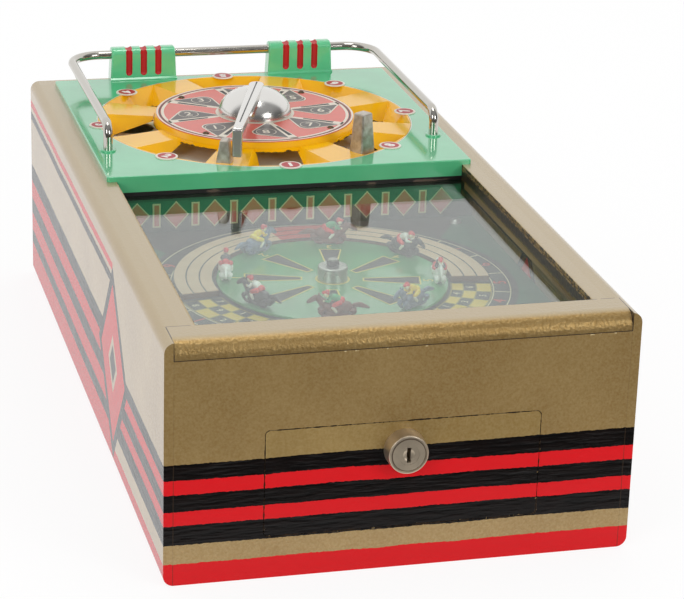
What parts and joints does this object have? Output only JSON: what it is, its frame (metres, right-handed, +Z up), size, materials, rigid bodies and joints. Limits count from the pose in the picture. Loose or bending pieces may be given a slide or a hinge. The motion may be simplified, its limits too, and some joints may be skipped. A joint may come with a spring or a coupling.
{
  "type": "trade stimulator",
  "caption": "Counter-top horse race coin game: wooden cabinet with a glazed spinning track, a round coin head with a lever handle, guard rail and a lockable cash drawer.",
  "frame": {"origin": "middle of the underside of the cabinet, on the counter", "axes": "+X to the right as the player faces it, +Y to the back, +Z up"},
  "size_m": [0.28, 0.542, 0.179],
  "materials": {
    "gold_wood": "gold painted wood, semi-gloss",
    "bare_wood": "bare wood",
    "clear_glass": "clear",
    "black_seal": "matt",
    "printed_board": "printed hardboard",
    "printed_metal": "printed sheet metal",
    "green_paint": "gloss enamel",
    "yellow_paint": "gloss enamel",
    "steel": "plain",
    "nickel": "polished",
    "chrome": "polished",
    "grey_cast": "as cast",
    "brass": "turned",
    "badge_paint": "enamel",
    "horse_brown": "enamel",
    "horse_black": "enamel",
    "horse_white": "enamel",
    "horse_grey": "enamel"
  },
  "bodies": {
    "cabinet": {"base_board": "bare_wood", "left_side_board": "gold_wood", "right_side_board": "gold_wood", "front_board": "gold_wood", "front_rail": "gold_wood", "back_board": "gold_wood", "wood_screws": "steel", "top_strips": "gold_wood", "glass_ledges": "bare_wood", "playfield_glass": "clear_glass", "glass_rear_seal": "black_seal", "title_board": "printed_board", "playfield_cleats": "bare_wood", "playfield_board": "printed_board", "track_ring": "printed_board", "spindle_bushing": "brass", "mechanism_plate": "steel", "mechanism_standoffs": "steel", "rack_guides": "steel", "rear_bridge": "steel", "shaft_bushing": "brass", "return_spring": "steel", "top_plate": "green_paint", "coin_ring": "yellow_paint", "dial_plate": "printed_metal", "dial_screws": "steel", "number_badges": "badge_paint", "left_stop_peg": "grey_cast", "right_stop_peg": "grey_cast", "left_bracket": "green_paint", "right_bracket": "green_paint", "guard_rail": "chrome", "rail_nuts": "steel", "coin_hopper": "steel", "drawer_runners": "bare_wood"},
    "turntable": {"turntable_disc": "green_paint", "hub_cap": "chrome", "cap_nut": "steel", "spindle": "steel", "ratchet_wheel": "steel", "horse_1": "horse_brown", "horse_2": "horse_black", "horse_3": "horse_white", "horse_4": "horse_grey", "horse_5": "horse_brown", "horse_6": "horse_black", "horse_7": "horse_white", "horse_8": "horse_grey"},
    "handle": {"handle_knob": "nickel", "handle_shaft": "steel", "drive_gear": "brass", "coin_shutter": "steel"},
    "rack": {"drive_rack": "steel"},
    "kick": {"kick_gear": "brass", "kick_pawl": "steel"},
    "drawer": {"drawer_front": "gold_wood", "drawer_tray": "bare_wood", "lock_body": "nickel"},
    "lock_core": {"lock_plug": "brass", "lock_cam": "steel"}
  },
  "joints": [
    {"name": "handle_turn", "type": "hinge", "parent": "cabinet", "child": "handle", "pos_m": [0, 0.1361, 0.1524], "axis": [0, 0, 1], "range_deg": [0, 47], "stiffness_Nm_per_rad": 0.15, "springref_deg": -14.32},
    {"name": "rack_slide", "type": "slide", "parent": "cabinet", "child": "rack", "axis": [0, 1, 0], "range_m": [0, 0.0165]},
    {"name": "kick_turn", "type": "hinge", "parent": "cabinet", "child": "kick", "pos_m": [0, -0.0917, 0.098], "axis": [0, 0, 1], "range_deg": [0, 47.5]},
    {"name": "turntable_spin", "type": "hinge", "parent": "cabinet", "child": "turntable", "pos_m": [0, -0.0917, 0.11], "axis": [0, 0, 1], "continuous": true},
    {"name": "drawer_slide", "type": "slide", "parent": "cabinet", "child": "drawer", "axis": [0, -1, 0], "range_m": [0, 0.25]},
    {"name": "lock_turn", "type": "hinge", "parent": "drawer", "child": "lock_core", "pos_m": [0, -0.265, 0.075], "axis": [0, 1, 0], "range_deg": [0, 90]}
  ],
  "couplings": [
    {"joint": "rack_slide", "follows": "handle_turn", "m_per_rad": 0.02},
    {"joint": "kick_turn", "follows": "handle_turn", "ratio": 1}
  ]
}
